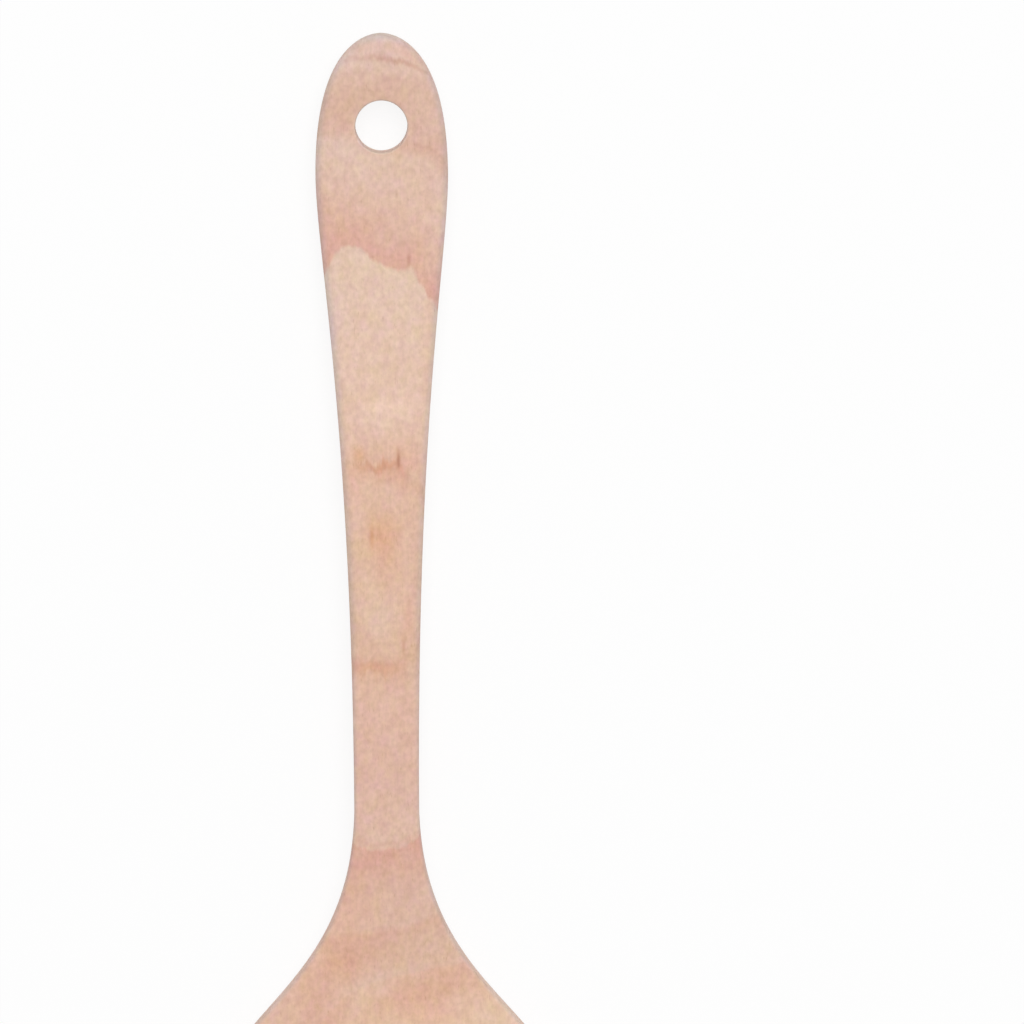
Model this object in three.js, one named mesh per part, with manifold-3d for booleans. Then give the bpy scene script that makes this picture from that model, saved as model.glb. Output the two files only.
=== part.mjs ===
// A wooden spatula sawn and shaped from one board, with a hanging hole through the end of its handle.
// Millimetres, +Z up. The flat back lies on z = 0, the handle's tip points along +Y and the working edge
// along -Y, and the origin is under the middle of the whole length.
import * as THREE from "three";
import { mergeVertices } from "three/addons/utils/BufferGeometryUtils.js";
import Module from "manifold-3d";

// Lengths along the spatula, from the handle's tip to the working edge
const END_LENGTH = 29.8; // tip to the widest place of the grip
const GRIP_LENGTH = 135.4; // widest place of the grip to the narrowest place of the neck
const FLARE_LENGTH = 71.5; // neck to the full width of the blade
const BLADE_LENGTH = 63.3; // full width of the blade to the working edge

// Widths across
const GRIP_WIDTH = 28.2;
const NECK_WIDTH = 13.9;
const BLADE_WIDTH = 78;
const CORNER_RADIUS = 9;

// Thicknesses, and where along the handle the board is left thickest
const TIP_THICKNESS = 7.4;
const CREST_THICKNESS = 10;
const CREST_FROM_TIP = 114.5;
const WORKING_EDGE_THICKNESS = 2.2;
const FACE_CROWN = 0.12; // how much lower the front face is at its sides than on the centre line

// Rounded edges, and the plain rim that is left between the front and the back round
const HANDLE_ROUND = 2;
const BLADE_ROUND = 0.9;
const EDGE_LAND = 0.4;

// Hanging hole
const HOLE_DIAMETER = 11.1;
const HOLE_FROM_TIP = 19.6;
const HOLE_ROUND = 0.5;
const CUTTER_OVERRUN = 1; // how far the hole's cutter stands out of both faces

// How full the outline's curves are: the share of its run for which a curve keeps its end direction
const TIP_FULLNESS = 0.18;
const END_FULLNESS = 0.936;
const GRIP_FULLNESS = 0.122;
const WAIST_FULLNESS = 0.62;
const NECK_FULLNESS = 0.592;
const SHOULDER_FULLNESS = 0.374;

// How steeply the thickness ends at the tip and at the working edge, against a straight taper of 1
const TIP_STEEPNESS = 1.02;
const EDGE_STEEPNESS = 1.46;

// How finely curves are divided
const END_STEPS = 16;
const GRIP_STEPS = 14;
const FLARE_STEPS = 18;
const BLADE_STEPS = 3;
const CORNER_STEPS = 5;
const COLUMNS_PER_SIDE = 6;
const ROUND_STEPS = 5;
const HOLE_STEPS = 32;
const RIM_STEPS = 4;
const RIM_ARC = Math.PI / 3;
const MERGE_DISTANCE = 1e-4;

const WOOD_COLOUR = "#e0baa5";
const WOOD_ROUGHNESS = 0.62;

const GRIP_ALONG = END_LENGTH;
const NECK_ALONG = GRIP_ALONG + GRIP_LENGTH;
const SHOULDER_ALONG = NECK_ALONG + FLARE_LENGTH;
const LENGTH = SHOULDER_ALONG + BLADE_LENGTH;

// Half of the outline, from the tip down one side to the middle of the working edge.
// Points are (across, along), with across from the centre line and along from the tip.
function halfOutline() {
  const grip = GRIP_WIDTH / 2;
  const neck = NECK_WIDTH / 2;
  const blade = BLADE_WIDTH / 2;
  const cornerAcross = blade - CORNER_RADIUS;
  const cornerAlong = LENGTH - CORNER_RADIUS;
  const at = (across, along) => new THREE.Vector2(across, along);
  const handleEnd = new THREE.CubicBezierCurve(
    at(0, 0),
    at(grip * TIP_FULLNESS, 0),
    at(grip, GRIP_ALONG - END_LENGTH * END_FULLNESS),
    at(grip, GRIP_ALONG),
  );
  const waist = new THREE.CubicBezierCurve(
    at(grip, GRIP_ALONG),
    at(grip, GRIP_ALONG + GRIP_LENGTH * GRIP_FULLNESS),
    at(neck, NECK_ALONG - GRIP_LENGTH * WAIST_FULLNESS),
    at(neck, NECK_ALONG),
  );
  const flare = new THREE.CubicBezierCurve(
    at(neck, NECK_ALONG),
    at(neck, NECK_ALONG + FLARE_LENGTH * NECK_FULLNESS),
    at(blade, SHOULDER_ALONG - FLARE_LENGTH * SHOULDER_FULLNESS),
    at(blade, SHOULDER_ALONG),
  );
  const bladeSide = new THREE.LineCurve(at(blade, SHOULDER_ALONG), at(blade, cornerAlong));
  const corner = new THREE.EllipseCurve(
    cornerAcross, cornerAlong, CORNER_RADIUS, CORNER_RADIUS, 0, Math.PI / 2,
  );
  const workingEdge = new THREE.LineCurve(at(cornerAcross, LENGTH), at(0, LENGTH));
  return [
    [handleEnd, END_STEPS],
    [waist, GRIP_STEPS],
    [flare, FLARE_STEPS],
    [bladeSide, BLADE_STEPS],
    [corner, CORNER_STEPS],
    [workingEdge, COLUMNS_PER_SIDE],
  ];
}

// Outline points, each with the unit direction that leads inwards from it
function outlinePoints() {
  const points = [];
  for (const [curve, steps] of halfOutline()) {
    const first = points.length === 0 ? 0 : 1;
    for (let step = first; step <= steps; step += 1) {
      const place = curve.getPoint(step / steps);
      const tangent = curve.getTangent(step / steps);
      const inward = new THREE.Vector2(-tangent.y, tangent.x);
      const onCentreLine = place.x === 0;
      if (onCentreLine) inward.set(0, Math.sign(inward.y));
      points.push({ place, inward });
    }
  }
  return points;
}

// A cubic that starts level at 0 and ends at 1, with the given steepness there
function taper(share, steepness) {
  return (3 - steepness) * share ** 2 + (steepness - 2) * share ** 3;
}

// Thickness on the centre line: greatest at the crest, thinner towards the tip, thinnest at the edge
function thicknessAt(along) {
  if (along < CREST_FROM_TIP) {
    const share = (CREST_FROM_TIP - along) / CREST_FROM_TIP;
    return CREST_THICKNESS - (CREST_THICKNESS - TIP_THICKNESS) * taper(share, TIP_STEEPNESS);
  }
  const share = (along - CREST_FROM_TIP) / (LENGTH - CREST_FROM_TIP);
  return CREST_THICKNESS - (CREST_THICKNESS - WORKING_EDGE_THICKNESS) * taper(share, EDGE_STEEPNESS);
}

// Radius of the edge round: the handle's as far as the crest, easing to the blade's by the neck, and
// never more than leaves the plain rim where the blade is thin
function roundAt(along) {
  const easing = THREE.MathUtils.smoothstep(along, CREST_FROM_TIP, NECK_ALONG);
  const round = THREE.MathUtils.lerp(HANDLE_ROUND, BLADE_ROUND, easing);
  return Math.min(round, (thicknessAt(along) - EDGE_LAND) / 2);
}

// The faces and the rim are nets of points. This one covers a net with triangles, leaving out those
// that have no area because the net comes to a point there.
function coverNet(rows, triangles) {
  const add = (a, b, c) => {
    const flat = a.equals(b) || b.equals(c) || c.equals(a);
    if (!flat) triangles.push(a, b, c);
  };
  for (let row = 0; row + 1 < rows.length; row += 1) {
    const here = rows[row];
    const next = rows[row + 1];
    for (let column = 0; column + 1 < here.length; column += 1) {
      add(here[column], next[column], next[column + 1]);
      add(here[column], next[column + 1], here[column + 1]);
    }
  }
}

// The board as a closed net: a crowned front face, a flat back face and the rounded rim between them
function boardGeometry() {
  const half = outlinePoints();
  const mirrored = half.slice(1, -1).reverse().map(({ place, inward }) => ({
    place: new THREE.Vector2(-place.x, place.y),
    inward: new THREE.Vector2(-inward.x, inward.y),
  }));
  const loop = [...half, ...mirrored, half[0]];

  // Half width of the outline at a distance from the tip
  const sides = half.slice(0, half.length - COLUMNS_PER_SIDE);
  const halfWidthAt = (along) => {
    const after = sides.findIndex(({ place }) => place.y >= along);
    if (after <= 0) return sides[after === 0 ? 0 : sides.length - 1].place.x;
    const from = sides[after - 1].place;
    const to = sides[after].place;
    return from.x + ((to.x - from.x) * (along - from.y)) / (to.y - from.y);
  };

  const frontPoint = (spot, drop) => {
    const edge = Math.max(halfWidthAt(spot.y), Math.abs(spot.x), MERGE_DISTANCE);
    const crown = FACE_CROWN * (spot.x / edge) ** 2;
    return new THREE.Vector3(spot.x, -spot.y, thicknessAt(spot.y) - crown - drop);
  };
  const backPoint = (spot, drop) => new THREE.Vector3(spot.x, -spot.y, drop);

  // A round of the rim at one outline point: how far in and how far below the face each step lies
  const roundSteps = ({ place, inward }) => {
    const radius = roundAt(place.y);
    return Array.from({ length: ROUND_STEPS + 1 }, (_, step) => {
      const angle = (Math.PI / 2) * (step / ROUND_STEPS);
      const inset = radius * (1 - Math.cos(angle));
      return { spot: place.clone().addScaledVector(inward, inset), drop: radius * (1 - Math.sin(angle)) };
    });
  };
  const rim = loop.map((point) => {
    const steps = roundSteps(point);
    const front = steps.map(({ spot, drop }) => frontPoint(spot, drop)).reverse();
    const back = steps.map(({ spot, drop }) => backPoint(spot, drop));
    return [...front, ...back];
  });

  // A face is ruled across between the inner lines of the rim's two sides. Its last row is the rim's
  // inner line along the working edge.
  const faceRows = (innerLine, pointAt) => {
    const rows = sides.slice(0, -1).map((_, row) => {
      const right = innerLine[row];
      const left = innerLine[innerLine.length - 1 - row];
      const between = Array.from({ length: 2 * COLUMNS_PER_SIDE - 1 }, (_, column) => {
        const across = right.x * ((column + 1) / COLUMNS_PER_SIDE - 1);
        return pointAt(new THREE.Vector2(across, -right.y), 0);
      });
      return [left, ...between, right];
    });
    const edgeStart = sides.length - 1;
    const edgeRow = innerLine.slice(edgeStart, edgeStart + 2 * COLUMNS_PER_SIDE + 1).reverse();
    return [...rows, edgeRow];
  };
  const front = faceRows(rim.map((profile) => profile.at(0)), frontPoint);
  const back = faceRows(rim.map((profile) => profile.at(-1)), backPoint).map((row) => row.reverse());

  const triangles = [];
  for (const net of [rim, front, back]) coverNet(net, triangles);
  return new THREE.BufferGeometry().setFromPoints(triangles);
}

// Cutter for the hanging hole: a drill with a rounded flare towards each face, revolved on its axis
function holeCutterGeometry() {
  const radius = HOLE_DIAMETER / 2;
  const top = thicknessAt(HOLE_FROM_TIP);
  const arc = Array.from({ length: RIM_STEPS + 1 }, (_, step) => (RIM_ARC * step) / RIM_STEPS);
  const rimPoints = arc.map((angle) => ({
    out: radius + HOLE_ROUND * (1 - Math.cos(angle)),
    sunk: HOLE_ROUND * (1 - Math.sin(angle)),
  }));
  const last = rimPoints[RIM_STEPS];
  const rise = last.sunk + CUTTER_OVERRUN;
  rimPoints.push({ out: last.out + rise * Math.tan(RIM_ARC), sunk: -CUTTER_OVERRUN });
  const lower = rimPoints.map(({ out, sunk }) => new THREE.Vector2(out, sunk)).reverse();
  const upper = rimPoints.map(({ out, sunk }) => new THREE.Vector2(out, top - sunk));
  const profile = [
    new THREE.Vector2(0, -CUTTER_OVERRUN),
    ...lower,
    ...upper,
    new THREE.Vector2(0, top + CUTTER_OVERRUN),
  ];
  const cutter = new THREE.LatheGeometry(profile, HOLE_STEPS);
  cutter.rotateX(Math.PI / 2);
  cutter.translate(0, -HOLE_FROM_TIP, 0);
  return cutter;
}

const wasm = await Module();
wasm.setup();

// A closed solid from a geometry whose shared corners are merged
function solidFrom(geometry) {
  geometry.deleteAttribute("normal");
  geometry.deleteAttribute("uv");
  const merged = mergeVertices(geometry, MERGE_DISTANCE);
  const corners = Array.from(merged.index.array);
  const kept = [];
  for (let start = 0; start < corners.length; start += 3) {
    const [a, b, c] = corners.slice(start, start + 3);
    if (a !== b && b !== c && c !== a) kept.push(a, b, c);
  }
  return new wasm.Manifold(new wasm.Mesh({
    numProp: 3,
    vertProperties: Float32Array.from(merged.attributes.position.array),
    triVerts: Uint32Array.from(kept),
  }));
}

function geometryFrom(solid) {
  const mesh = solid.getMesh();
  const geometry = new THREE.BufferGeometry();
  geometry.setAttribute("position", new THREE.BufferAttribute(mesh.vertProperties, mesh.numProp));
  geometry.setIndex(new THREE.BufferAttribute(mesh.triVerts, 1));
  geometry.computeVertexNormals();
  return geometry;
}

const drilled = solidFrom(boardGeometry()).subtract(solidFrom(holeCutterGeometry()));
const wood = new THREE.MeshStandardMaterial({
  color: WOOD_COLOUR,
  roughness: WOOD_ROUGHNESS,
  metalness: 0,
});
const spatula = new THREE.Mesh(geometryFrom(drilled), wood);
spatula.name = "spatula";
spatula.position.y = LENGTH / 2;

const object = new THREE.Group();
object.add(spatula);

export default object;
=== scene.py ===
"""A wooden spatula, cut from one board, lying on a pale floor under soft studio light."""
import math
import bmesh
import bpy
import numpy as np
from mathutils import Matrix, Vector


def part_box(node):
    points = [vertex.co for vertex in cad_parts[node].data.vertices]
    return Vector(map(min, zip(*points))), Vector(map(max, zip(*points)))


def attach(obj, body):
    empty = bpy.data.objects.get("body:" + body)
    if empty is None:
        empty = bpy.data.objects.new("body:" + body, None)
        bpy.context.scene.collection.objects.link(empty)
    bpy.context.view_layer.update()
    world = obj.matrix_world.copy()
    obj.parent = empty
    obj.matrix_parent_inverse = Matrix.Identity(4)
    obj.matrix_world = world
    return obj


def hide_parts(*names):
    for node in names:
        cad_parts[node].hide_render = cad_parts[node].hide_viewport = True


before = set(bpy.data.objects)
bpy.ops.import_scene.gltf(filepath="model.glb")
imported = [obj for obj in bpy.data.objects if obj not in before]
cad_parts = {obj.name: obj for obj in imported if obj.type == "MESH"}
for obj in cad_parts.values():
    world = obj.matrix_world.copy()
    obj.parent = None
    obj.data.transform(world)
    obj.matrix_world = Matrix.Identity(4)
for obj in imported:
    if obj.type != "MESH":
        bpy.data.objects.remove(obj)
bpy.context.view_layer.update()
node_low, node_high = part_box("spatula")

# Sizes of the spatula in metres, along it from the handle's tip and across it from the centre line
MM = 0.001
LENGTH = node_high[1] - node_low[1]
TIP_Y = node_high[1]
BLADE_HALF = (node_high[0] - node_low[0]) / 2
GRIP_HALF = 14.1 * MM
NECK_HALF = 6.95 * MM
CORNER_RADIUS = 9.0 * MM
END_LENGTH = 29.8 * MM
GRIP_LENGTH = 135.4 * MM
FLARE_LENGTH = 71.5 * MM
GRIP_ALONG = END_LENGTH
NECK_ALONG = GRIP_ALONG + GRIP_LENGTH
SHOULDER_ALONG = NECK_ALONG + FLARE_LENGTH
TIP_THICKNESS = 7.4 * MM
CREST_THICKNESS = 10.0 * MM
CREST_ALONG = 114.5 * MM
WORKING_EDGE_THICKNESS = 2.2 * MM
FACE_CROWN = 0.12 * MM
HANDLE_ROUND = 2.0 * MM
BLADE_ROUND = 0.9 * MM
EDGE_LAND = 0.4 * MM
HOLE_RADIUS = 5.55 * MM
HOLE_ALONG = 19.6 * MM
HOLE_ROUND = 0.5 * MM

# Share of its run for which each outline curve keeps its end direction, and how steep the tapers end
TIP_FULLNESS = 0.18
END_FULLNESS = 0.936
GRIP_FULLNESS = 0.122
WAIST_FULLNESS = 0.62
NECK_FULLNESS = 0.592
SHOULDER_FULLNESS = 0.374
TIP_STEEPNESS = 1.02
EDGE_STEEPNESS = 1.46

# How finely the skin is divided
END_STEPS = 110
GRIP_STEPS = 150
FLARE_STEPS = 110
BLADE_STEPS = 50
CORNER_STEPS = 24
COLUMNS = 26
ROUND_STEPS = 10
HOLE_ROUND_STEPS = 6
RADIAL_STEPS = 20

# How far from the tip the spokes round the hole reach, and how near points lie that are welded
HOLE_REGION_ALONG = 40.0 * MM
WELD = 1e-7

# Names of the values that each vertex keeps for the material
DEPTH_NAME = "depth_below_front"
EDGE_SHEEN_NAME = "painted_edge_sheen"
BORE_NAME = "bore_wall"


# Outline and thickness
def cubic_curve(corners, steps):
    """A cubic curve and its unit slopes.

    Its four corners are weighted by the four terms of the cube of (1 - t) + t, and the slope comes from the
    gaps between the corners, weighted by the three terms of the square.
    """
    corners = np.array(corners)
    t = np.linspace(0, 1, steps + 1)[:, None]
    weights = [(1 - t) ** 3, 3 * (1 - t) ** 2 * t, 3 * (1 - t) * t ** 2, t ** 3]
    points = sum(w * c for w, c in zip(weights, corners))
    gaps = np.diff(corners, axis=0)
    slopes = (1 - t) ** 2 * gaps[0] + 2 * (1 - t) * t * gaps[1] + t ** 2 * gaps[2]
    return points, slopes / np.linalg.norm(slopes, axis=1, keepdims=True)


def straight(start, end, steps):
    """Evenly spaced points from start to end, with their one direction."""
    start, end = np.array(start), np.array(end)
    points = start + (end - start) * np.linspace(0, 1, steps + 1)[:, None]
    slope = (end - start) / np.linalg.norm(end - start)
    return points, np.repeat(slope[None], steps + 1, axis=0)


def quarter(centre, radius, steps):
    """A quarter circle from straight across to straight along, with its tangents."""
    angle = np.linspace(0, math.pi / 2, steps + 1)
    points = np.array(centre) + radius * np.column_stack([np.cos(angle), np.sin(angle)])
    return points, np.column_stack([-np.sin(angle), np.cos(angle)])


def half_outline():
    """The outline from the tip down one side to the middle of the working edge, with inward directions.

    Three cubic curves make the handle's end, its waist and the flare, then come the blade's straight side,
    a round corner and half of the straight working edge.
    """
    corner = (BLADE_HALF - CORNER_RADIUS, LENGTH - CORNER_RADIUS)
    handle_end = [
        (0, 0),
        (GRIP_HALF * TIP_FULLNESS, 0),
        (GRIP_HALF, GRIP_ALONG - END_LENGTH * END_FULLNESS),
        (GRIP_HALF, GRIP_ALONG),
    ]
    waist = [
        (GRIP_HALF, GRIP_ALONG),
        (GRIP_HALF, GRIP_ALONG + GRIP_LENGTH * GRIP_FULLNESS),
        (NECK_HALF, NECK_ALONG - GRIP_LENGTH * WAIST_FULLNESS),
        (NECK_HALF, NECK_ALONG),
    ]
    flare = [
        (NECK_HALF, NECK_ALONG),
        (NECK_HALF, NECK_ALONG + FLARE_LENGTH * NECK_FULLNESS),
        (BLADE_HALF, SHOULDER_ALONG - FLARE_LENGTH * SHOULDER_FULLNESS),
        (BLADE_HALF, SHOULDER_ALONG),
    ]
    runs = [
        cubic_curve(handle_end, END_STEPS),
        cubic_curve(waist, GRIP_STEPS),
        cubic_curve(flare, FLARE_STEPS),
        straight((BLADE_HALF, SHOULDER_ALONG), (BLADE_HALF, corner[1]), BLADE_STEPS),
        quarter(corner, CORNER_RADIUS, CORNER_STEPS),
        straight((corner[0], LENGTH), (0, LENGTH), COLUMNS),
    ]
    points = np.concatenate([runs[0][0]] + [run[0][1:] for run in runs[1:]])
    slopes = np.concatenate([runs[0][1]] + [run[1][1:] for run in runs[1:]])
    return points, np.column_stack([-slopes[:, 1], slopes[:, 0]])


HALF_POINTS, HALF_INWARD = half_outline()
SIDE_COUNT = len(HALF_POINTS) - COLUMNS


def taper(share, steepness):
    """A cubic that starts level at 0 and ends at 1 with the given steepness."""
    return (3 - steepness) * share ** 2 + (steepness - 2) * share ** 3


def thickness(along):
    """Thickness on the centre line: a cubic taper from the crest towards the tip, another to the edge."""
    to_tip = np.clip((CREST_ALONG - along) / CREST_ALONG, 0, None)
    to_edge = np.clip((along - CREST_ALONG) / (LENGTH - CREST_ALONG), 0, None)
    return (
        CREST_THICKNESS
        - (CREST_THICKNESS - TIP_THICKNESS) * taper(to_tip, TIP_STEEPNESS)
        - (CREST_THICKNESS - WORKING_EDGE_THICKNESS) * taper(to_edge, EDGE_STEEPNESS)
    )


def edge_round(along):
    """Radius of the rounded edges: the handle's as far as the crest, easing to the blade's by the neck.

    The easing is three squares less two cubes of the share of that way. The radius never takes more than
    leaves the plain rim where the blade is thin.
    """
    share = np.clip((along - CREST_ALONG) / (NECK_ALONG - CREST_ALONG), 0, 1)
    easing = share * share * (3 - 2 * share)
    radius = HANDLE_ROUND + (BLADE_ROUND - HANDLE_ROUND) * easing
    return np.minimum(radius, (thickness(along) - EDGE_LAND) / 2)


def front_height(spots):
    """Height of the front face: the thickness, less the crown times the square of across over half width."""
    across, along = spots[..., 0], spots[..., 1]
    side = HALF_POINTS[:SIDE_COUNT]
    edge = np.maximum(np.interp(along, side[:, 1], side[:, 0]), np.abs(across))
    return thickness(along) - FACE_CROWN * (across / np.maximum(edge, WELD)) ** 2


def back_height(spots):
    """The back lies flat on the floor."""
    return np.zeros(spots.shape[:-1])


def in_frame(spots, heights):
    """Points in the part's frame from (across, along) spots and heights."""
    return np.stack([spots[..., 0], TIP_Y - spots[..., 1], heights], axis=-1)


# Skin of the spatula as nets of points
def rim_net():
    """The rim round the whole outline: a quarter round off each face, joined by a plain strip.

    A round's point at angle a lies r (1 - cos a) in from the outline and r (1 - sin a) below its face.
    """
    mirror = np.array([-1, 1])
    place = np.concatenate([HALF_POINTS, HALF_POINTS[-2:0:-1] * mirror])
    inward = np.concatenate([HALF_INWARD, HALF_INWARD[-2:0:-1] * mirror])
    radius = edge_round(place[:, 1])[:, None]
    angle = np.linspace(0, math.pi / 2, ROUND_STEPS + 1)
    spots = place[:, None] + inward[:, None] * (radius * (1 - np.cos(angle)))[..., None]
    drop = radius * (1 - np.sin(angle))
    front = in_frame(spots, front_height(spots) - drop)
    back = in_frame(spots, back_height(spots) + drop)
    return np.concatenate([front[:, ::-1], back], axis=1), spots[:, -1]


def face_nets(inner, height):
    """One face: rows ruled across below the hole's region, and a ring of spokes from the hole to its bounds.

    The spokes run from the hole's rim straight to the handle's inner outline and to the first ruled row.
    """
    sides = inner[:SIDE_COUNT]
    first = int(np.searchsorted(sides[:, 1], HOLE_REGION_ALONG))
    shares = np.linspace(-1, 1, 2 * COLUMNS + 1)
    across = sides[first:, 0][:, None] * shares
    ruled = np.stack([across, np.broadcast_to(sides[first:, 1][:, None], across.shape)], axis=-1)
    mirrored = sides[first:0:-1] * np.array([-1, 1])
    bounds = np.concatenate([sides[:first], ruled[0, ::-1], mirrored[1:]])
    centre = np.array([0, HOLE_ALONG])
    away = bounds - centre
    away = away / np.linalg.norm(away, axis=1, keepdims=True)
    rim = centre + away * (HOLE_RADIUS + HOLE_ROUND)
    share = np.linspace(0, 1, RADIAL_STEPS + 1)[None, :, None]
    spokes = rim[:, None] + (bounds - rim)[:, None] * share
    return in_frame(ruled, height(ruled)), in_frame(spokes, height(spokes)), away


def hole_net(away):
    """The hole's wall: a quarter round in from each face's rim, joined by a plain bore.

    A round's point at angle a lies r (1 - sin a) out from the bore and r (1 - cos a) below its face.
    """
    angle = np.linspace(0, math.pi / 2, HOLE_ROUND_STEPS + 1)
    radius = HOLE_RADIUS + HOLE_ROUND * (1 - np.sin(angle))
    sunk = HOLE_ROUND * (1 - np.cos(angle))
    centre = np.array([0, HOLE_ALONG])
    spots = centre + away[:, None] * radius[None, :, None]
    rim = spots[:, :1]
    front = in_frame(spots, front_height(rim) - sunk)
    back = in_frame(spots, back_height(rim) + sunk)
    return np.concatenate([front, back[:, ::-1]], axis=1)


def net_quads(rows, columns, closed, turned):
    """Corner numbers of a net's quads, with its last row joined to the first where it is closed."""
    row = np.arange(rows if closed else rows - 1)[:, None]
    column = np.arange(columns - 1)[None]
    after = (row + 1) % rows
    corners = [row * columns + column, after * columns + column]
    corners += [after * columns + column + 1, row * columns + column + 1]
    quads = np.stack(corners, axis=-1).reshape(-1, 4)
    return quads[:, ::-1] if turned else quads


# Values that each vertex keeps for the material
def vertex_vectors(mesh, kind):
    """One row of x, y and z for each vertex: its place for "co", its normal for "normal"."""
    vectors = np.empty(len(mesh.vertices) * 3)
    mesh.vertices.foreach_get(kind, vectors)
    return vectors.reshape(-1, 3)


def store_values(mesh, name, values):
    """Stores one number for each vertex under a name."""
    mesh.attributes.new(name, "FLOAT", "POINT").data.foreach_set("value", values)


def store_depth(mesh):
    """Stores how far each vertex lies below the front face, in millimetres: the face's height less its z."""
    places = vertex_vectors(mesh, "co")
    spots = np.column_stack([places[:, 0], TIP_Y - places[:, 1]])
    store_values(mesh, DEPTH_NAME, (front_height(spots) - places[:, 2]) / MM)


def store_edge_sheen(mesh):
    """Stores how much painted sheen each vertex gets, a grey-blue cast that stands for the white
    surroundings' reflection on steep parts: 0 on the faces, growing to 1 half way round an edge and on the
    walls.

    It is twice one less the square of the normal's z, and at most 1.
    """
    square = vertex_vectors(mesh, "normal")[:, 2] ** 2
    store_values(mesh, EDGE_SHEEN_NAME, np.minimum(2 * (1 - square), 1))


def store_bore(mesh):
    """Stores how far each vertex lies in the hole: 0 on the faces, growing over the round to 1 on the wall.

    It is the distance in from the round's outer rim, counted in widths of the round.
    """
    places = vertex_vectors(mesh, "co")
    away = np.hypot(places[:, 0], TIP_Y - places[:, 1] - HOLE_ALONG)
    share = np.clip((HOLE_RADIUS + HOLE_ROUND - away) / HOLE_ROUND, 0, 1)
    store_values(mesh, BORE_NAME, share)


def spatula_mesh():
    """All nets in one mesh, welded along their shared lines."""
    rim, inner = rim_net()
    front_ruled, front_spokes, away = face_nets(inner, front_height)
    back_ruled, back_spokes, _ = face_nets(inner, back_height)
    nets = [
        (rim, True, False),
        (front_ruled, False, False),
        (back_ruled, False, True),
        (front_spokes, True, False),
        (back_spokes, True, True),
        (hole_net(away), True, True),
    ]
    points, quads, count = [], [], 0
    for net, closed, turned in nets:
        rows, columns = net.shape[:2]
        points.append(net.reshape(-1, 3))
        quads.append(net_quads(rows, columns, closed, turned) + count)
        count += rows * columns
    mesh = bpy.data.meshes.new("spatula_skin")
    mesh.from_pydata(np.concatenate(points), [], np.concatenate(quads).tolist())
    work = bmesh.new()
    work.from_mesh(mesh)
    bmesh.ops.remove_doubles(work, verts=work.verts, dist=WELD)
    for face in work.faces:
        face.smooth = True
    work.to_mesh(mesh)
    work.free()
    store_depth(mesh)
    store_edge_sheen(mesh)
    store_bore(mesh)
    return mesh


# Display's colour curve: a straight foot, then a shifted power
DISPLAY_WHITE = 255
FOOT_END = 0.04045
FOOT_SLOPE = 12.92
CURVE_SHIFT = 0.055
CURVE_POWER = 2.4

# Sockets of a mix node that blends colours. They go by number, because its other sockets have the same names.
MIX_SHARE = 0
MIX_FIRST = 6
MIX_SECOND = 7
MIX_RESULT = 2


def tone(red, green, blue):
    """A colour in the renderer's linear values, from display values of 0 to 255."""
    shown = np.array([red, green, blue]) / DISPLAY_WHITE
    curve = ((shown + CURVE_SHIFT) / (1 + CURVE_SHIFT)) ** CURVE_POWER
    return (*np.where(shown <= FOOT_END, shown / FOOT_SLOPE, curve).tolist(), 1.0)


class Wiring:
    """Adds nodes to one tree. An input is a socket to link, or a plain value to set."""

    def __init__(self, tree):
        self.tree = tree

    def node(self, kind, inputs=None, **settings):
        """A new node. Its settings come first, because its inputs can depend on them."""
        made = self.tree.nodes.new(kind)
        for name, value in settings.items():
            setattr(made, name, value)
        for name, value in (inputs or {}).items():
            if isinstance(value, bpy.types.NodeSocket):
                self.tree.links.new(value, made.inputs[name])
            else:
                made.inputs[name].default_value = value
        return made

    def math(self, operation, *values):
        """The result of an operation on numbers."""
        return self.node("ShaderNodeMath", dict(enumerate(values)), operation=operation).outputs[0]

    def vector(self, operation, *values):
        """The result of an operation on vectors."""
        return self.node("ShaderNodeVectorMath", dict(enumerate(values)), operation=operation).outputs[0]

    def mix(self, blend, share, first, second):
        """The first colour, blended by a share with the second."""
        ends = {MIX_SHARE: share, MIX_FIRST: first, MIX_SECOND: second}
        made = self.node("ShaderNodeMix", ends, data_type="RGBA", blend_type=blend, clamp_result=False)
        return made.outputs[MIX_RESULT]


def new_material(name):
    """An empty node material and its wiring."""
    material = bpy.data.materials.new(name)
    material.use_nodes = True
    material.node_tree.nodes.clear()
    return material, Wiring(material.node_tree)


# Growth rings of a board whose rings lie nearly flat, bark side up, in millimetres. A point's ring height is
# the height of the front face over it, with a bow and a lean across. The lean eases off along the handle and
# grows again in the blade. Below the face the height falls with the square of the depth, so that the figure
# runs on over the rounded edges.
RING_BOW = 0.0004
TIP_LEAN = 0.0125
HANDLE_LEAN = 0.004
LEAN_EASE_FROM = 50.0
LEAN_EASE_TO = 90.0
BLADE_LEAN_FROM = 178.0
BLADE_LEAN_GROWTH = 0.00058
DEPTH_FALL = 0.02

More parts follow.
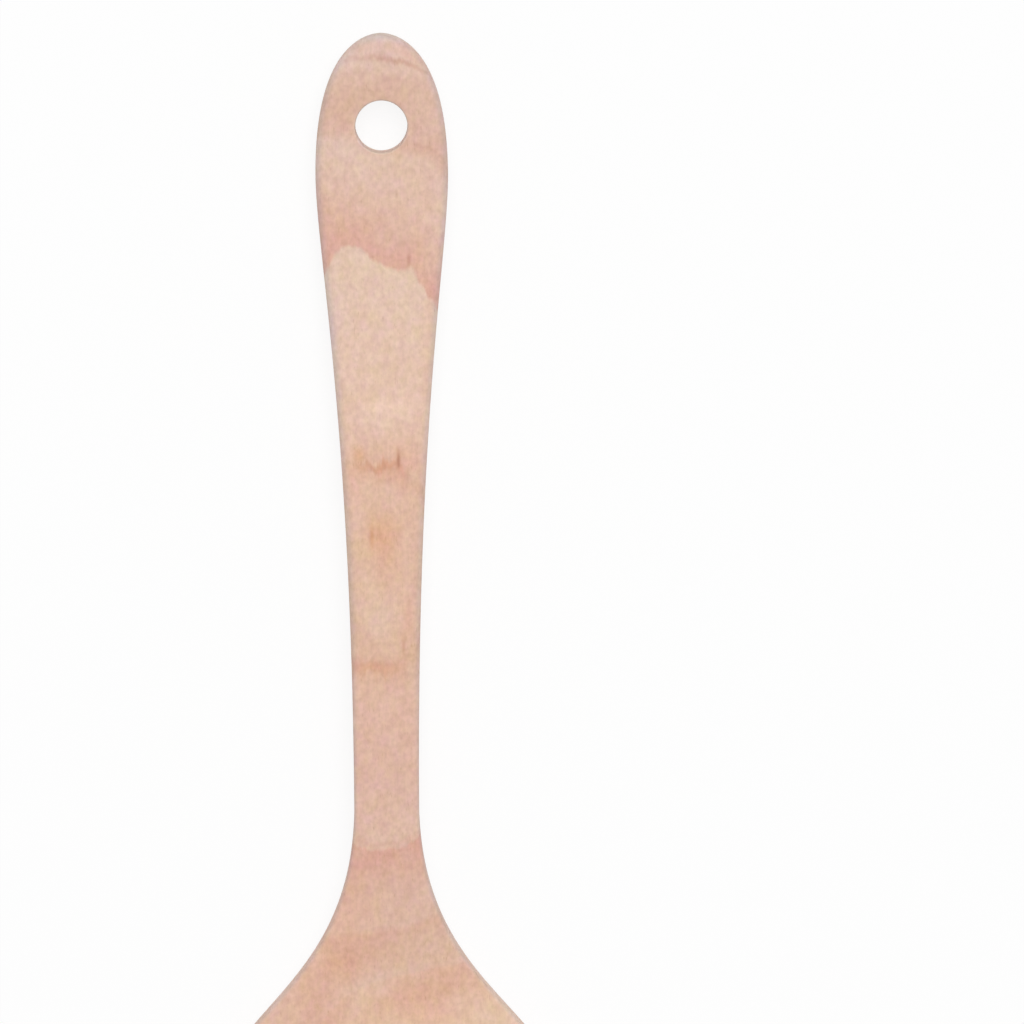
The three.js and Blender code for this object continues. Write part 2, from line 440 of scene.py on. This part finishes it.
# Each upper ring: the height where it starts, how softly it does, and its tones by their share of it
RING_TOP = 10.4
UPPER_RINGS = [
    (6.62, 0.10, [
        (0.0, (226, 193, 172)), (0.45, (224, 188, 167)), (0.75, (222, 184, 164)), (1.0, (222, 183, 163)),
    ]),
    (7.34, 0.06, [
        (0.0, (222, 184, 165)), (0.5, (223, 188, 171)), (1.0, (223, 188, 171)),
    ]),
    (7.445, 0.03, [
        (0.0, (222, 188, 171)), (0.15, (221, 185, 167)), (0.6, (219, 182, 163)), (1.0, (220, 181, 162)),
    ]),
    (8.05, 0.09, [
        (0.0, (225, 192, 174)), (0.3, (225, 190, 172)), (0.6, (222, 181, 162)),
        (0.9, (220, 171, 154)), (1.0, (221, 174, 156)),
    ]),
    (8.78, 0.02, [
        (0.0, (227, 196, 176)), (0.35, (227, 193, 175)), (0.75, (228, 192, 173)),
        (0.9, (227, 189, 169)), (1.0, (223, 181, 157)),
    ]),
    (9.82, 0.05, [
        (0.0, (225, 186, 164)), (1.0, (227, 190, 167)),
    ]),
]

# Rings below those: their width, how far and how fast it drifts, and the tones that they all share
LOWER_RING_WIDTH = 0.60
LOWER_RING_DRIFT = 0.14
LOWER_RING_PACE = 3.1
LOWER_RING = [
    (0.0, (224, 190, 170)),
    (0.5, (223, 187, 166)),
    (0.8, (221, 183, 162)),
    (0.93, (219, 179, 158)),
    (1.0, (224, 190, 170)),
]

# Noise that bends the rings: size across and along, swing in height, and where the noise is read
RING_WAVES = [
    (11.0, 50.0, 0.10, (3.1, 0.7, 1.9)),
    (2.2, 12.0, 0.06, (7.3, 2.2, 0.4)),
    (0.6, 4.0, 0.04, (1.7, 5.1, 2.8)),
]

# All noise: the middle that it swings about, and how many finer layers it has
NOISE_MIDDLE = 0.5
NOISE_DETAIL = 2.0

# Knolls that lift or sink the rings near the front: across, along, reach across and along, and height
KNOLLS = [
    ("tip", -3.0, 5.5, 8.0, 6.0, -0.055),
    ("middle of the tip", 0.5, 6.0, 5.0, 5.0, -0.012),
    ("left of the tip", -9.0, 4.5, 5.0, 6.0, -0.065),
    ("right of the tip", 10.0, 8.0, 3.5, 5.0, 0.055),
    ("left of the hole", -9.0, 23.0, 6.0, 7.0, 0.05),
    ("right of the hole", 10.0, 27.0, 6.0, 8.0, 0.13),
    ("pale crest", -6.0, 46.0, 2.8, 4.0, 0.07),
    ("left of the tongue", 1.9, 48.5, 2.0, 3.0, -0.02),
    ("tongue", 6.4, 48.5, 2.2, 3.0, 0.07),
    ("grip left", -13.2, 50.0, 2.6, 9.0, -0.16),
    ("grip right", 11.5, 58.0, 3.0, 8.0, -0.09),
    ("mark left", -5.5, 92.5, 3.0, 4.0, -0.02),
    ("mark middle", -1.2, 93.5, 1.6, 4.0, -0.035),
    ("mark right", 5.0, 93.0, 3.0, 4.0, -0.03),
    ("left of the spot", -8.0, 114.0, 4.0, 20.0, 0.10),
    ("right of the spot", 8.0, 113.0, 3.5, 16.0, 0.12),
    ("band middle", -1.5, 137.0, 5.0, 5.0, -0.065),
    ("neck", -1.0, 173.0, 14.0, 9.0, -0.087),
    ("right of the neck", 6.5, 171.5, 3.5, 5.0, -0.02),
    ("blade", 0.0, 208.0, 30.0, 16.0, -0.36),
    ("left of the blade", -10.0, 197.0, 7.0, 8.0, -0.06),
]
KNOLL_DEPTH = 3.0

# Marks on the front that follow the rings: ring height and half width, then across, along, reach across and
# along, and the tint that they multiply by
RING_MARKS = [
    ("line near the tip", 7.45, 0.020, 3.0, 6.0, 9.5, 6.0, (0.85, 0.745, 0.725)),
    ("fainter line below it", 7.575, 0.018, 3.0, 8.5, 6.0, 4.0, (0.95, 0.92, 0.92)),
    ("line right of the hole", 8.02, 0.020, 10.0, 26.0, 5.0, 5.0, (0.93, 0.90, 0.89)),
    ("mark across the handle", 9.80, 0.015, -0.5, 92.0, 5.0, 5.0, (0.90, 0.75, 0.67)),
    ("band above the neck", 9.81, 0.028, -2.5, 136.0, 5.5, 6.0, (0.95, 0.84, 0.79)),
    ("soft edge of the bow", 8.82, 0.026, 0.0, 172.0, 16.0, 7.0, (0.955, 0.885, 0.885)),
    ("red patch of the blade", 7.80, 0.15, -13.0, 200.0, 10.0, 9.0, (0.995, 0.93, 0.91)),
    ("red band of the blade", 7.14, 0.16, 6.0, 208.0, 14.0, 10.0, (0.965, 0.89, 0.85)),
]
MARK_DEPTH = 3.0

# Stains centred on the front face, from the tip down: across, along, reach across, along and deep, and the
# tint that they multiply by. A few of them are painted sheen, shade or light, as their comments say. Those
# that reach far down show on the back too. The fine flecks come last.
STAINS_AND_PAINTED_LIGHT = [
    # Painted sheen: the grey end of the tip stands for the grey-blue cast of a white reflection on the tip's
    # rounded end.
    ("grey painted sheen at the tip's end", 0.0, 0.4, (9, 1.3, 8), (0.93, 1.03, 1.10)),
    ("pale cap", 0.0, 2.0, (9, 4.5, 2), (1.03, 1.05, 1.11)),
    ("pale left of the tip", -8.4, 6.3, (3.4, 3.2, 2), (1.05, 1.06, 1.13)),
    ("tan above the hole", -0.6, 12.8, (6.5, 3.6, 2), (0.965, 0.92, 0.885)),
    ("tan left of the hole", -8.7, 15.0, (3, 4, 2), (0.975, 0.945, 0.935)),
    ("lilac left of the hole", -8.8, 24.0, (5, 3.5, 2), (1.0, 1.01, 1.06)),
    ("tan below the hole", 9.0, 31.0, (6, 7, 2), (0.975, 0.965, 0.935)),
    ("paler above the tongue", 1.4, 43.5, (4, 3, 2), (1.0, 1.05, 1.045)),
    ("paler right of the tongue", 9.5, 49.0, (2, 3.5, 2), (1.01, 1.08, 1.07)),
    ("pink right side", 10.0, 58.0, (1.6, 4.5, 2), (0.985, 0.945, 0.955)),
    # Painted reflection: the lilac left side is a bluish-grey cast of the rounded left edge's reflection.
    ("painted lilac reflection on the left side", -10.4, 61.8, (1.4, 9, 3), (1.0, 1.01, 1.08)),
    ("pale upper handle", 0.0, 66.0, (22, 24, 30), (1.01, 1.01, 1.01)),
    ("amber right side", 9.8, 71.5, (1.6, 14, 2), (1.0, 0.965, 0.91)),
    ("pale streak", 1.2, 79.0, (5, 1.6, 3), (1.10, 1.11, 1.13)),
    ("lilac patch above the mark", -1.2, 81.8, (3.8, 3.2, 2), (1.035, 1.07, 1.13)),
    ("tan above the mark", 3.6, 88.5, (3, 2.5, 2), (0.985, 0.945, 0.915)),
    ("orange by the mark", -5.3, 89.4, (1.4, 1.7, 2), (1.0, 0.90, 0.79)),
    ("pink by the mark", 5.5, 91.5, (3.0, 3.0, 2), (1.0, 0.94, 0.93)),
    ("pink below the mark", 0.5, 93.8, (4.0, 1.8, 2), (0.99, 0.93, 0.93)),
    ("paler right of the mark", 5.7, 94.3, (1.6, 1.6, 2), (1.0, 1.10, 1.12)),
    ("pink tail of the mark", 3.7, 96.0, (1.6, 2.5, 2), (0.985, 0.93, 0.93)),
    ("pink left of the mark", -6.4, 96.9, (1.5, 5, 2), (1.05, 1.0, 1.09)),
    # Painted shade: the dusky right side darkens the strip by the right edge, where the rounding turns away
    # from the light.
    ("painted shade on the right side", 6.4, 106.0, (1.2, 12, 2), (0.98, 0.955, 0.97)),
    ("orange spot", -0.6, 107.0, (3.6, 4.6, 2), (0.98, 0.84, 0.74)),
    ("orange tail", 0.4, 113.5, (3.0, 4.0, 2), (1.0, 0.965, 0.935)),
    ("pale patch", -1.0, 124.8, (3.4, 4.0, 2), (1.03, 1.10, 1.15)),
    ("pink strip", 4.9, 125.0, (1.4, 6.0, 2), (1.01, 0.93, 0.96)),
    ("paler right of the band", 5.3, 133.8, (1.3, 5, 2), (1.0, 1.07, 1.06)),
    ("paler below the band", -0.7, 142.0, (5, 6.5, 3), (1.03, 1.05, 1.075)),
    ("dusky neck", 0.0, 156.0, (30, 27, 30), (0.96, 0.89, 0.89)),
    ("dusky above the bow", 0.0, 170.0, (14, 4.5, 30), (0.99, 0.965, 0.975)),
    ("paler left of the bow", -6.6, 175.5, (1.5, 1.5, 2), (1.01, 1.08, 1.12)),
    ("paler right of the bow", 4.3, 176.0, (2, 1.4, 2), (1.03, 1.11, 1.11)),
    ("paler below the bow", 0.0, 181.5, (12, 6.5, 30), (1.02, 1.11, 1.13)),
    ("tan shoulder", -12.0, 189.0, (9, 12, 30), (1.01, 0.94, 0.89)),
    ("dusky shoulder", 5.0, 190.5, (14, 11, 30), (0.945, 0.87, 0.86)),
    ("pale across the shoulder", 5.3, 192.9, (6.5, 3, 30), (1.02, 1.055, 1.075)),
    ("pale right of the blade", 11.0, 195.0, (8, 6, 30), (1.025, 1.075, 1.08)),
    ("pale left shoulder", -16.1, 198.7, (2.6, 4.5, 30), (1.07, 1.11, 1.14)),
    ("red right of the blade", 12.9, 200.4, (4, 3, 30), (0.985, 0.93, 0.92)),
    ("red left of the blade", -8.1, 201.2, (3.5, 3.5, 30), (0.985, 0.92, 0.92)),
    ("pale low on the blade", -2.5, 205.5, (5, 3.2, 30), (1.02, 1.07, 1.09)),
    ("pale left side of the blade", -23.0, 206.5, (3.8, 4.8, 30), (1.07, 1.11, 1.13)),
    ("red at the left foot", -11.5, 206.5, (3.4, 3.4, 30), (0.98, 0.915, 0.905)),
    ("pale left of the foot", -7.2, 209.2, (3.5, 3, 30), (1.03, 1.08, 1.11)),
    ("red at the foot", 9.0, 210.5, (6.5, 3.5, 30), (0.985, 0.90, 0.89)),
    ("red low on the blade", -16.2, 210.8, (5, 5, 30), (0.97, 0.895, 0.86)),
    # The ruddy blade is partly a redder tone of the wood and partly painted light, which brightens the blade
    # where the softbox's light falls off.
    ("ruddy blade with painted light", 0.0, 232.0, (60, 40, 30), (1.08, 1.04, 1.0)),
    ("fleck above the tongue", 3.1, 34.0, (0.3, 0.8, 1), (0.86, 0.82, 0.80)),
    ("fleck at the tongue", 5.6, 48.0, (0.4, 1.4, 1), (0.80, 0.72, 0.68)),
    ("fleck by the mark", 3.1, 90.2, (0.42, 1.9, 1), (0.70, 0.58, 0.53)),
    ("fleck in the spot", -2.7, 106.9, (0.45, 2.4, 1), (0.93, 0.84, 0.70)),
    ("fleck above the band", 3.85, 130.6, (0.4, 2.0, 1), (0.88, 0.80, 0.76)),
]

# Mottles all through the wood: size across and along, where the noise is read, and the two tints that it runs
# between, from the low value of the noise to the high one
MOTTLES = [
    (14.0, 60.0, (2.6, 9.4, 6.2), (1.0, 0.98, 0.985), (1.0, 1.02, 0.99)),
    (2.4, 4.0, (8.8, 4.1, 3.5), (0.975, 0.96, 0.95), (1.02, 1.04, 1.045)),
    (3.4, 4.6, (6.1, 7.7, 2.3), (1.0, 0.986, 1.032), (1.0, 1.014, 0.968)),
    (1.6, 2.1, (4.9, 0.8, 9.6), (1.0, 0.976, 1.030), (1.0, 1.024, 0.968)),
    (1.0, 1.3, (0.4, 3.3, 8.1), (0.923, 0.918, 0.903), (1.072, 1.082, 1.097)),
    (0.38, 5.0, (5.6, 1.2, 4.7), (0.982, 0.98, 0.978), (1.016, 1.02, 1.022)),
]
MOTTLE_LOW = 0.3
MOTTLE_HIGH = 0.7

# Ray flecks, fine fibres in relief, and the sheen
FLECK_ACROSS = 0.3
FLECK_ALONG = 1.7
FLECK_START = 0.64
FLECK_FULL = 0.76
FLECK_TINT = (0.88, 0.84, 0.80, 1.0)
FIBRE_ACROSS = 0.3
FIBRE_ALONG = 5.0
FIBRE_RELIEF = 0.02 * MM
ROUGHNESS_LOW = 0.5
ROUGHNESS_HIGH = 0.66
SHEEN_LEVEL = 0.3

# Tints of the painted sheen on the steep edges and walls, and of the painted light in the hole's wall on top
# of that
EDGE_SHEEN_TINT = (0.94, 1.02, 1.10, 1.0)
# Painted light: this tint lightens and greys the hole's wall, which lies in shade.
BORE_PAINTED_LIGHT_TINT = (1.17, 1.255, 1.27, 1.0)


# Parts of the wood's pattern
def soft_spot_group():
    """A node group that puts out e to the minus square of the distance from a centre, counted in reaches."""
    group = bpy.data.node_groups.new("soft_spot", "ShaderNodeTree")
    for name in ("Place", "Centre", "Reach"):
        group.interface.new_socket(name, in_out="INPUT", socket_type="NodeSocketVector")
    group.interface.new_socket("Share", in_out="OUTPUT", socket_type="NodeSocketFloat")
    wire = Wiring(group)
    given = wire.node("NodeGroupInput").outputs
    away = wire.vector("DIVIDE", wire.vector("SUBTRACT", given["Place"], given["Centre"]), given["Reach"])
    square = wire.node("ShaderNodeVectorMath", {0: away, 1: away}, operation="DOT_PRODUCT").outputs["Value"]
    wire.node("NodeGroupOutput", {"Share": wire.math("EXPONENT", wire.math("MULTIPLY", square, -1.0))})
    return group


def soft_spot(wire, group, name, place, across, along, reach):
    """A soft spot round the front face's height at a place given in millimetres."""
    top = float(thickness(np.array(along * MM))) / MM
    centre = (across, TIP_Y / MM - along, top)
    ends = {"Place": place, "Centre": centre, "Reach": reach}
    return wire.node("ShaderNodeGroup", ends, node_tree=group, label=name).outputs["Share"]


def stretched_noise(wire, place, across, along, offset=(0.0, 0.0, 0.0)):
    """Noise with features of these sizes, longer along the grain, from about 0 to 1."""
    scale = (1 / across, 1 / along, 1 / across)
    turned = wire.node("ShaderNodeMapping", {"Vector": place, "Location": offset, "Scale": scale})
    read = {"Vector": turned.outputs[0], "Scale": 1.0, "Detail": NOISE_DETAIL}
    return wire.node("ShaderNodeTexNoise", read).outputs[0]


def ramp_share(wire, value, low, high):
    """0 below the low value, 1 above the high one, straight between them."""
    return wire.node("ShaderNodeMapRange", {"Value": value, "From Min": low, "From Max": high}).outputs[0]


def fill_ramp(ramp, stops):
    """Puts (position, colour) stops into a colour ramp, in order."""
    while len(ramp.elements) > 1:
        ramp.elements.remove(ramp.elements[-1])
    ramp.elements[0].position, ramp.elements[0].color = stops[0]
    for position, colour in stops[1:]:
        ramp.elements.new(position).color = colour


def ring_height(wire, place, group):
    """Ring height at each point: the front face's height over it, plus the bow and less the lean across.

    The bow grows with the square of across and the lean with across. The square of the depth takes some off,
    and noise and knolls wave the sum.
    """
    x, y, z = wire.node("ShaderNodeSeparateXYZ", {0: place}).outputs[:3]
    along = wire.math("SUBTRACT", TIP_Y / MM, y)
    handle_lean = wire.node("ShaderNodeMapRange", {
        "Value": along, "From Min": LEAN_EASE_FROM, "From Max": LEAN_EASE_TO,
        "To Min": TIP_LEAN, "To Max": HANDLE_LEAN,
    }).outputs[0]
    in_blade = wire.math("MAXIMUM", wire.math("SUBTRACT", along, BLADE_LEAN_FROM), 0.0)
    lean = wire.math("MULTIPLY_ADD", in_blade, BLADE_LEAN_GROWTH, handle_lean)
    across = wire.math("MULTIPLY", wire.math("SUBTRACT", wire.math("MULTIPLY", x, RING_BOW), lean), x)
    depth = wire.node("ShaderNodeAttribute", attribute_name=DEPTH_NAME).outputs["Fac"]
    fall = wire.math("MULTIPLY", wire.math("MULTIPLY", depth, depth), DEPTH_FALL)
    face = wire.math("ADD", wire.math("ADD", z, depth), across)
    height = wire.math("SUBTRACT", face, fall)
    for size_across, size_along, swing, offset in RING_WAVES:
        noise = stretched_noise(wire, place, size_across, size_along, offset)
        height = wire.math("MULTIPLY_ADD", wire.math("SUBTRACT", noise, NOISE_MIDDLE), swing, height)
    for name, spot_across, spot_along, reach_across, reach_along, rise in KNOLLS:
        reach = (reach_across, reach_along, KNOLL_DEPTH)
        share = soft_spot(wire, group, name, place, spot_across, spot_along, reach)
        height = wire.math("MULTIPLY_ADD", share, rise, height)
    return height


def upper_ring_colour(wire, height):
    """Colour of the upper rings, each by its own tones, which start after the ring's soft edge."""
    low = UPPER_RINGS[0][0]
    ends = [ring[0] for ring in UPPER_RINGS[1:]] + [RING_TOP]
    stops = []
    for (start, step, tones), end in zip(UPPER_RINGS, ends):
        for share, colour in tones:
            spot = start + step + (end - start - step) * share
            stops.append(((spot - low) / (RING_TOP - low), tone(*colour)))
    ramp = wire.node("ShaderNodeValToRGB", {0: ramp_share(wire, height, low, RING_TOP)})
    fill_ramp(ramp.color_ramp, stops)
    return ramp.outputs[0]


def lower_ring_colour(wire, height):
    """Colour of the lower rings, alike but of uneven width: a sine of the height drifts their starts."""
    wave = wire.math("SINE", wire.math("MULTIPLY", height, LOWER_RING_PACE))
    drift = wire.math("MULTIPLY", wave, LOWER_RING_DRIFT)
    drifted = wire.math("ADD", wire.math("SUBTRACT", height, UPPER_RINGS[0][0]), drift)
    share = wire.math("FRACT", wire.math("DIVIDE", drifted, LOWER_RING_WIDTH))
    ramp = wire.node("ShaderNodeValToRGB", {0: share})
    fill_ramp(ramp.color_ramp, [(spot, tone(*colour)) for spot, colour in LOWER_RING])
    return ramp.outputs[0]


def ring_colour(wire, height):
    """Colour of the rings: the upper ones' above the height where they start, the lower ones' below it."""
    is_upper = wire.math("GREATER_THAN", height, UPPER_RINGS[0][0])
    return wire.mix("MIX", is_upper, lower_ring_colour(wire, height), upper_ring_colour(wire, height))


def add_ring_marks(wire, colour, place, group, height):
    """The colour under the ring marks: each as strong as its soft spot times its band of ring heights.

    A band is e to the minus square of the height's distance from the mark's ring, in half widths.
    """
    for name, level, half_width, across, along, reach_across, reach_along, tint in RING_MARKS:
        share = soft_spot(wire, group, name, place, across, along, (reach_across, reach_along, MARK_DEPTH))
        away = wire.math("DIVIDE", wire.math("SUBTRACT", height, level), half_width)
        band = wire.math("EXPONENT", wire.math("MULTIPLY", wire.math("MULTIPLY", away, away), -1.0))
        colour = wire.mix("MULTIPLY", wire.math("MULTIPLY", share, band), colour, (*tint, 1.0))
    return colour


def add_stains_and_painted_light(wire, colour, place, group):
    """The colour under the stains and the painted sheen, shade and light listed with them, each as strong as
    its soft spot.
    """
    for name, across, along, reach, tint in STAINS_AND_PAINTED_LIGHT:
        share = soft_spot(wire, group, name, place, across, along, reach)
        colour = wire.mix("MULTIPLY", share, colour, (*tint, 1.0))
    return colour


def add_mottles(wire, colour, place):
    """The colour under the mottles and the ray flecks, which are noise through the whole wood."""
    for across, along, offset, first, second in MOTTLES:
        noise = stretched_noise(wire, place, across, along, offset)
        share = ramp_share(wire, noise, MOTTLE_LOW, MOTTLE_HIGH)
        tint = wire.mix("MIX", share, (*first, 1.0), (*second, 1.0))
        colour = wire.mix("MULTIPLY", 1.0, colour, tint)
    fleck = stretched_noise(wire, place, FLECK_ACROSS, FLECK_ALONG)
    return wire.mix("MULTIPLY", ramp_share(wire, fleck, FLECK_START, FLECK_FULL), colour, FLECK_TINT)


def add_painted_edge_light(wire, colour):
    """The colour under the painted sheen on the steep edges and walls, and under the painted light in the
    hole's wall.
    """
    for name, tint in ((EDGE_SHEEN_NAME, EDGE_SHEEN_TINT), (BORE_NAME, BORE_PAINTED_LIGHT_TINT)):
        share = wire.node("ShaderNodeAttribute", attribute_name=name).outputs["Fac"]
        colour = wire.mix("MULTIPLY", share, colour, tint)
    return colour


def wood_material():
    """Bare sanded beech: rings, stains, mottles and ray flecks through the board, then painted sheen on the
    steep edges and painted light in the hole.
    """
    material, wire = new_material("pale_beech")
    source = wire.node("ShaderNodeTexCoord")
    place = wire.node(
        "ShaderNodeVectorMath", {0: source.outputs["Object"], "Scale": 1 / MM}, operation="SCALE",
    ).outputs[0]
    group = soft_spot_group()
    height = ring_height(wire, place, group)
    colour = ring_colour(wire, height)
    colour = add_ring_marks(wire, colour, place, group, height)
    colour = add_stains_and_painted_light(wire, colour, place, group)
    colour = add_mottles(wire, colour, place)
    colour = add_painted_edge_light(wire, colour)
    fibre = stretched_noise(wire, place, FIBRE_ACROSS, FIBRE_ALONG)
    bump = wire.node("ShaderNodeBump", {"Strength": 1.0, "Distance": FIBRE_RELIEF, "Height": fibre})
    roughness = wire.node("ShaderNodeMapRange", {
        "Value": fibre, "To Min": ROUGHNESS_HIGH, "To Max": ROUGHNESS_LOW,
    })
    shader = wire.node("ShaderNodeBsdfPrincipled", {
        "Base Color": colour,
        "Roughness": roughness.outputs[0],
        "Specular IOR Level": SHEEN_LEVEL,
        "Normal": bump.outputs[0],
    })
    wire.node("ShaderNodeOutputMaterial", {"Surface": shader.outputs[0]})
    return material


# Floor in metres: half its side, how far it lies below the back, its white, how much of its look is plain
# white near the object, and where that starts and ends growing to all of it
FLOOR_HALF = 4.0
FLOOR_DROP = 0.1 * MM
FLOOR_WHITE = 0.95
FLOOR_GLOW_SHARE = 0.86
FLOOR_FADE_FROM = 0.3
FLOOR_FADE_TO = 1.2

# Light: the sky's strength, and the softbox with its place over the floor, in metres and watts
WHITE = (1.0, 1.0, 1.0, 1.0)
SKY_STRENGTH = 0.45
SOFTBOX_SIDE = 3.0
SOFTBOX_HEIGHT = 3.75
SOFTBOX_WATTS = 101.0
SOFTBOX_FOOT = (0.3, 1.375)

# Camera: looking down from past the handle's tip, aimed at the middle of the picture
CAMERA_FOOT = (0.0, 280.0 * MM)
CAMERA_HEIGHT = 2000.0 * MM
CAMERA_AIM = (27.26 * MM, 47.52 * MM, 5.0 * MM)
CAMERA_ROLL = math.radians(-0.36)
CAMERA_LENS = 330.5
SENSOR_WIDTH = 36.0


# Studio and camera
def seen_ray(wire):
    """1 for rays that show the background itself: from the camera, in a gloss or through glass."""
    path = wire.node("ShaderNodeLightPath")
    gloss = wire.math("MAXIMUM", path.outputs["Is Glossy Ray"], path.outputs["Is Transmission Ray"])
    return wire.math("MAXIMUM", path.outputs["Is Camera Ray"], gloss)


def floor_material():
    """A pale matte that takes the soft shadow near the object and fades to plain white away from it."""
    material, wire = new_material("pale_floor")
    matte = wire.node("ShaderNodeBsdfDiffuse", {"Color": (FLOOR_WHITE, FLOOR_WHITE, FLOOR_WHITE, 1.0)})
    glow = wire.node("ShaderNodeEmission", {"Color": WHITE, "Strength": 1.0})
    place = wire.node("ShaderNodeTexCoord").outputs["Object"]
    away = wire.node("ShaderNodeVectorMath", {0: place}, operation="LENGTH").outputs["Value"]
    glowing = wire.node("ShaderNodeMapRange", {
        "Value": away, "From Min": FLOOR_FADE_FROM, "From Max": FLOOR_FADE_TO,
        "To Min": FLOOR_GLOW_SHARE, "To Max": 1.0,
    })
    share = wire.math("MULTIPLY", seen_ray(wire), glowing.outputs[0])
    mixed = wire.node("ShaderNodeMixShader", {0: share, 1: matte.outputs[0], 2: glow.outputs[0]})
    wire.node("ShaderNodeOutputMaterial", {"Surface": mixed.outputs[0]})
    return material


def make_floor():
    """A large square just below the back."""
    side = FLOOR_HALF
    corners = [(-side, -side), (side, -side), (side, side), (-side, side)]
    mesh = bpy.data.meshes.new("floor")
    mesh.from_pydata([(x, y, node_low[2] - FLOOR_DROP) for x, y in corners], [], [(0, 1, 2, 3)])
    mesh.materials.append(floor_material())
    floor = bpy.data.objects.new("floor", mesh)
    bpy.context.scene.collection.objects.link(floor)


def make_light():
    """An even sky, seen as plain white but dimmer as light, and one large softbox past the handle's tip."""
    world = bpy.data.worlds.new("studio")
    world.use_nodes = True
    world.node_tree.nodes.clear()
    wire = Wiring(world.node_tree)
    strength = wire.node("ShaderNodeMapRange", {
        "Value": seen_ray(wire), "To Min": SKY_STRENGTH, "To Max": 1.0,
    })
    sky = wire.node("ShaderNodeBackground", {"Color": WHITE, "Strength": strength.outputs[0]})
    wire.node("ShaderNodeOutputWorld", {"Surface": sky.outputs[0]})
    bpy.context.scene.world = world
    light = bpy.data.lights.new("softbox", "AREA")
    light.shape = "SQUARE"
    light.size = SOFTBOX_SIDE
    light.energy = SOFTBOX_WATTS
    softbox = bpy.data.objects.new("softbox", light)
    softbox.location = (*SOFTBOX_FOOT, SOFTBOX_HEIGHT)
    softbox.rotation_euler = (-softbox.location).to_track_quat("-Z", "Y").to_euler()
    bpy.context.scene.collection.objects.link(softbox)


def make_camera():
    """A long lens turned from its place to its aim, with the handle up in the picture and a slight roll."""
    data = bpy.data.cameras.new("camera")
    data.sensor_width = SENSOR_WIDTH
    data.lens = CAMERA_LENS
    camera = bpy.data.objects.new("camera", data)
    eye = Vector((*CAMERA_FOOT, CAMERA_HEIGHT))
    back = (eye - Vector(CAMERA_AIM)).normalized()
    side = Vector((0, 1, 0)).cross(back).normalized()
    turn = Matrix((side, back.cross(side), back)).transposed()
    camera.matrix_world = Matrix.Translation(eye) @ (turn @ Matrix.Rotation(CAMERA_ROLL, 3, "Z")).to_4x4()
    bpy.context.scene.collection.objects.link(camera)
    bpy.context.scene.camera = camera


def make_spatula():
    """The finely divided skin in beech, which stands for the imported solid."""
    mesh = spatula_mesh()
    mesh.materials.append(wood_material())
    skin = bpy.data.objects.new("spatula_skin", mesh)
    bpy.context.scene.collection.objects.link(skin)
    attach(skin, "root")
    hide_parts("spatula")


bpy.context.scene.view_settings.view_transform = "Standard"
make_camera()
make_floor()
make_light()
make_spatula()
